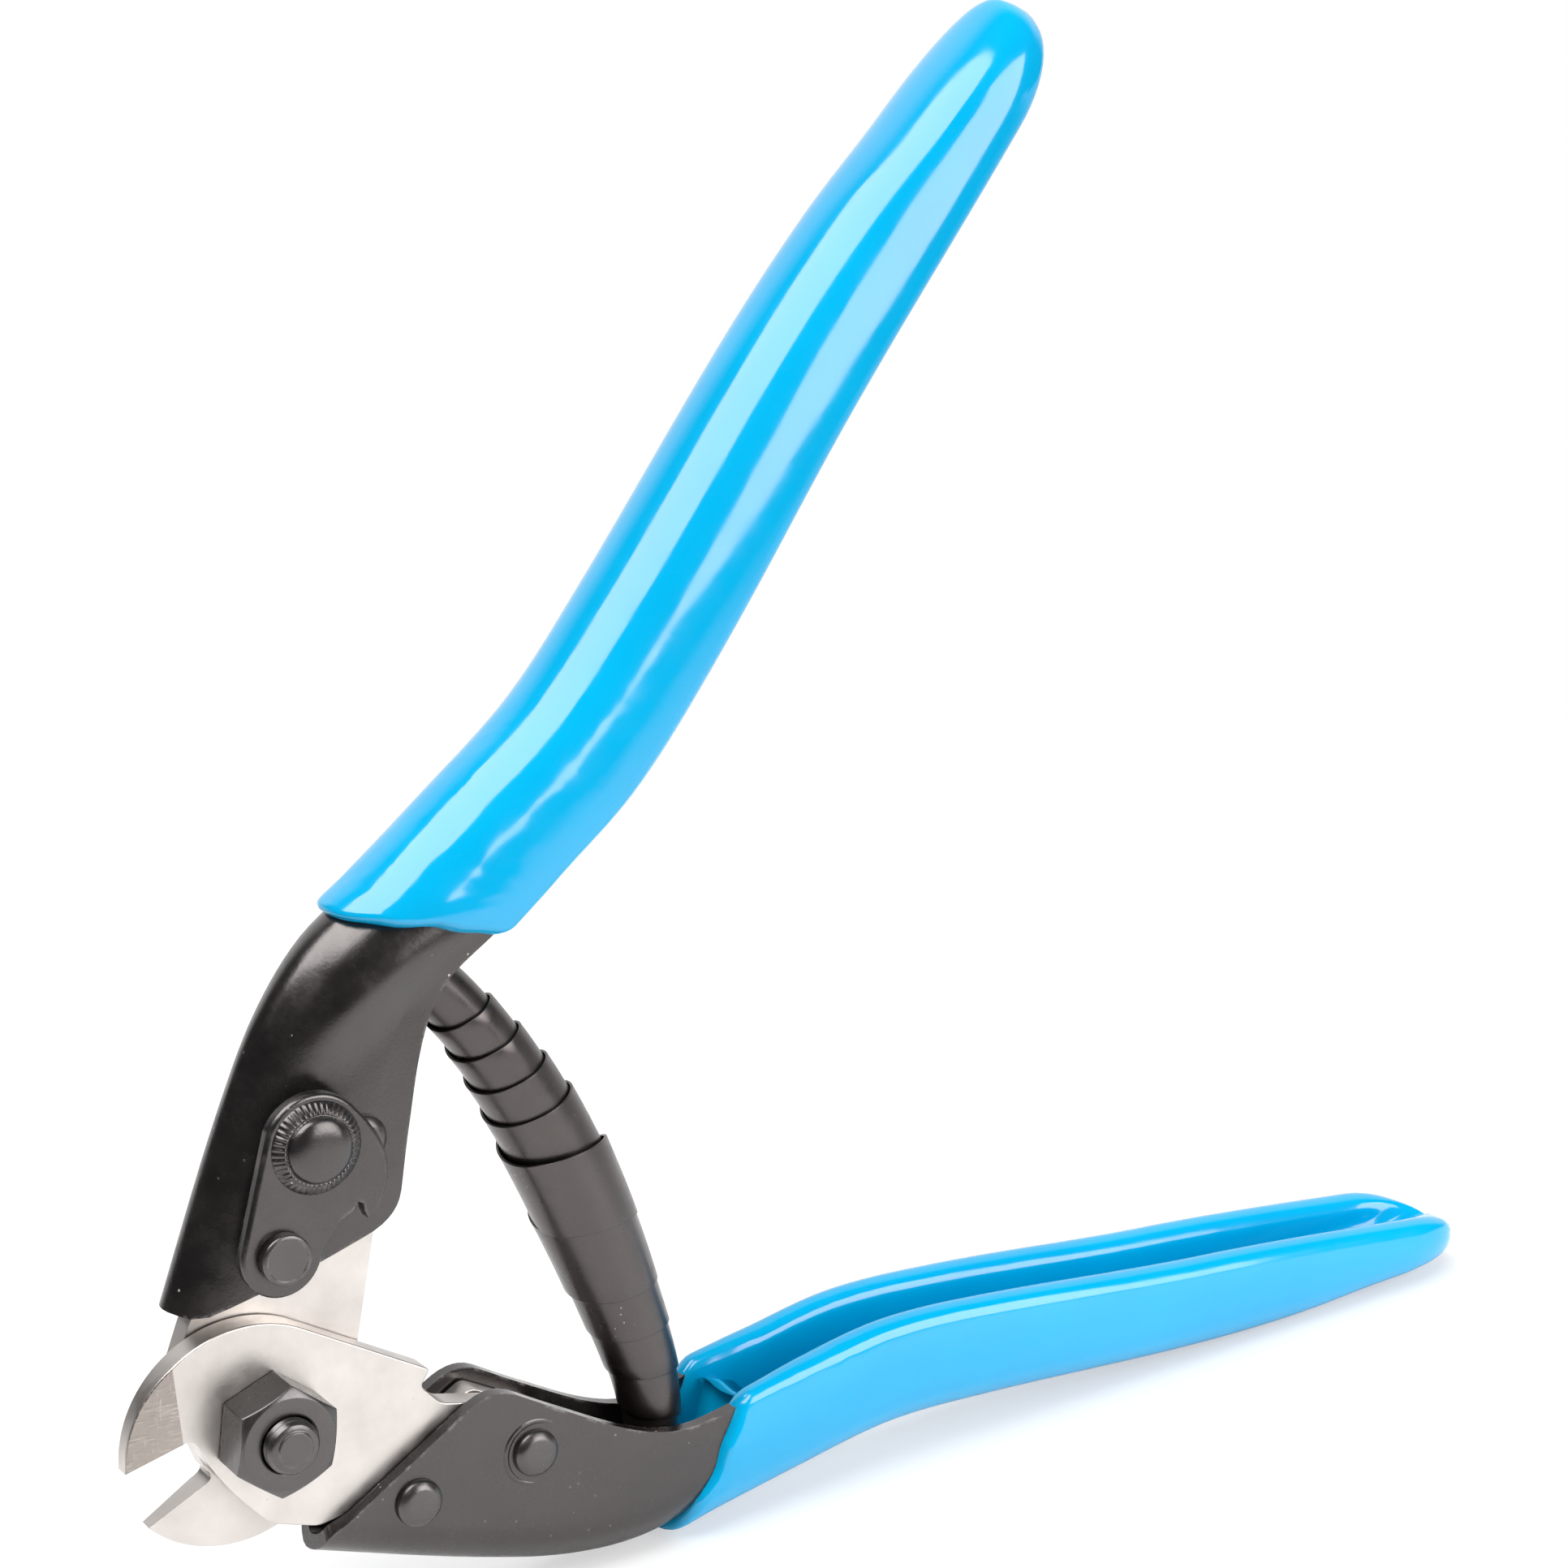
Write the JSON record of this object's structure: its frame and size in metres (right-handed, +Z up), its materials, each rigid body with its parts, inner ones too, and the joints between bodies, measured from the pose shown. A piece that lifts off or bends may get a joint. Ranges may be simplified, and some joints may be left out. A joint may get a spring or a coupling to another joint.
{
  "type": "wire rope cutter",
  "caption": "Hand cutter with hooked shear blades on a bolt, channel steel handles with dipped grips, a wound strip spring and a small swinging catch.",
  "frame": {"origin": "on the surface the tool stands on, under the middle of its bounding box", "axes": "+X from the jaws towards the ends of the grips, +Y along the pivot bolt towards its head, +Z up from the lower grip"},
  "size_m": [0.1774, 0.0174, 0.1584],
  "materials": {
    "handle_steel": "satin black coating over pressed steel",
    "oxide_steel": "black oxide, semi-gloss",
    "spring_steel": "blued spring strip, semi-gloss",
    "blade_steel": "satin ground, bright outer edge",
    "blue_plastic": "glossy dipped soft plastic"
  },
  "bodies": {
    "lower": {"lower_handle": "handle_steel", "lower_grip": "blue_plastic", "front_blade": "blade_steel", "lower_spacer": "blade_steel", "lower_front_rivet": "oxide_steel", "lower_rear_rivet": "oxide_steel", "lower_spring_seat": "oxide_steel", "pivot_nut": "oxide_steel", "pivot_bolt": "oxide_steel", "pivot_washer": "oxide_steel", "volute_spring": "spring_steel"},
    "upper": {"upper_handle": "handle_steel", "upper_grip": "blue_plastic", "rear_blade": "blade_steel", "upper_spacer": "blade_steel", "upper_rear_rivet": "oxide_steel", "latch_rivet": "oxide_steel", "latch_washer": "oxide_steel", "upper_spring_seat": "oxide_steel"},
    "catch": {"latch": "oxide_steel"}
  },
  "joints": [
    {"name": "main_pivot", "type": "hinge", "parent": "lower", "child": "upper", "pos_m": [-0.07415, 0.00093, 0.02716], "axis": [0, 1, 0], "range_deg": [0, 50], "stiffness_Nm_per_rad": 1, "springref_deg": -20.05, "deforming": ["volute_spring"]},
    {"name": "latch_hinge", "type": "hinge", "parent": "upper", "child": "catch", "pos_m": [-0.07251, -0.0045, 0.04596], "axis": [0, 1, 0], "range_deg": [0, 35]}
  ]
}
